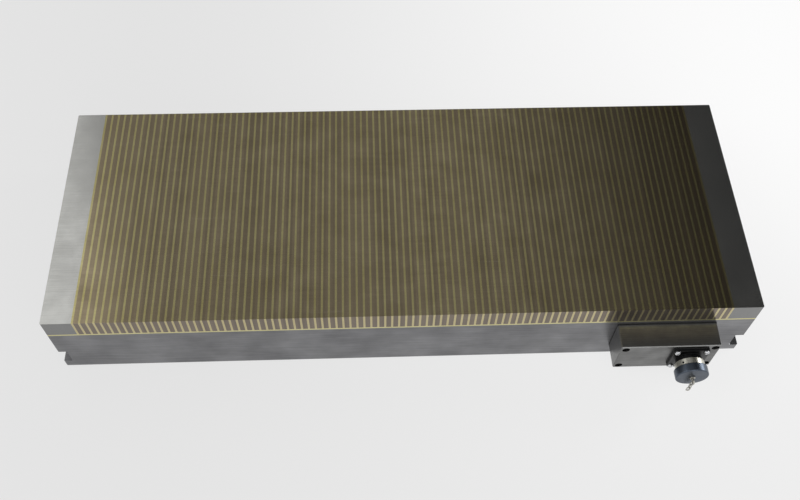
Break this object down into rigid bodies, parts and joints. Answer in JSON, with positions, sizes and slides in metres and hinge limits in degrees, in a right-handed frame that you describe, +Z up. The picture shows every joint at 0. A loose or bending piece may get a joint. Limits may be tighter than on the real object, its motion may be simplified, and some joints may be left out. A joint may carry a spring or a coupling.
{
  "type": "magnetic chuck",
  "caption": "Rectangular electromagnetic chuck: steel face striped with brass, clamp grooves at both ends, terminal box with capped round power socket on the front.",
  "frame": {"origin": "centre of the underside that rests on the machine table", "axes": "+X along the chuck to the end with the terminal box, -Y out of the front with the terminal box, +Z up out of the work face"},
  "size_m": [0.68, 0.3052, 0.09],
  "materials": {
    "body_steel": "ground steel, satin, uncoated",
    "core_iron": "machined iron",
    "former_plastic": "pressed insulating board",
    "coil_copper": "enamelled copper winding",
    "resin": "cast potting resin",
    "lead_insulation": "black sleeved lead",
    "lead_insulation_red": "red sleeved lead",
    "black_rubber": "matte rubber sheet",
    "brass_inlay": "ground flush with the steel",
    "pole_steel": "surface ground, grinding marks along the chuck",
    "end_plate_steel": "surface ground, satin",
    "bolt_steel": "blackened socket screws",
    "box_steel": "milled steel, satin, uncoated",
    "socket_metal": "turned metal, blackened",
    "collar_metal": "turned, plain",
    "insert_plastic": "moulded insulator",
    "pin_brass": "plated contact pins",
    "bright_screw_steel": "bright plated",
    "cap_aluminium": "turned, anodised blue grey",
    "chain_steel": "bright wire links"
  },
  "bodies": {
    "chuck": {"base_body": "body_steel", "magnet_core_front": "core_iron", "magnet_core_rear": "core_iron", "coil_former_front": "former_plastic", "coil_former_rear": "former_plastic", "coil_front": "coil_copper", "coil_rear": "coil_copper", "potting_resin": "resin", "coil_jumper_lead": "lead_insulation", "positive_lead": "lead_insulation_red", "negative_lead": "lead_insulation", "cable_grommet": "black_rubber", "brass_frame": "brass_inlay", "north_pole_strips": "pole_steel", "south_pole_strips": "pole_steel", "brass_spacer_strips": "brass_inlay", "end_plate_left": "end_plate_steel", "end_plate_right": "end_plate_steel", "core_bolts": "bolt_steel", "end_plate_bolts": "bolt_steel", "terminal_box": "box_steel", "terminal_box_gasket": "black_rubber", "terminal_box_screws": "bolt_steel", "socket_flange_gasket": "black_rubber", "socket_shell": "socket_metal", "socket_collar": "collar_metal", "socket_insert": "insert_plastic", "socket_retaining_ring": "socket_metal", "socket_pins": "pin_brass", "socket_lock_screw": "bolt_steel", "socket_flange_screws": "bright_screw_steel"},
    "cap_swivel": {"cap_swivel_eye": "bright_screw_steel"},
    "cap": {"socket_cap": "cap_aluminium", "cap_seal": "black_rubber"},
    "link_1": {"chain_link_1": "chain_steel"},
    "link_2": {"chain_link_2": "chain_steel"},
    "link_3": {"chain_link_3": "chain_steel"}
  },
  "joints": [
    {"name": "cap_travel", "type": "slide", "parent": "chuck", "child": "cap_swivel", "axis": [0, -1, 0], "range_m": [0, 0.0058]},
    {"name": "cap_turn", "type": "hinge", "parent": "cap_swivel", "child": "cap", "pos_m": [0.2755, -0.1726, 0.039], "axis": [0, -1, 0], "range_deg": [0, 1392]},
    {"name": "link_1_swing", "type": "hinge", "parent": "cap_swivel", "child": "link_1", "pos_m": [0.2755, -0.1772, 0.039], "axis": [1, 0, 0], "range_deg": [-100, 6]},
    {"name": "link_2_swing", "type": "hinge", "parent": "link_1", "child": "link_2", "pos_m": [0.2755, -0.1772, 0.0307], "axis": [1, 0, 0], "range_deg": [-90, 8]},
    {"name": "link_3_swing", "type": "hinge", "parent": "link_2", "child": "link_3", "pos_m": [0.2755, -0.1772, 0.0246], "axis": [0, 1, 0], "range_deg": [-80, 80]}
  ],
  "couplings": [
    {"joint": "cap_travel", "follows": "cap_turn", "m_per_rad": 0.0002387}
  ]
}
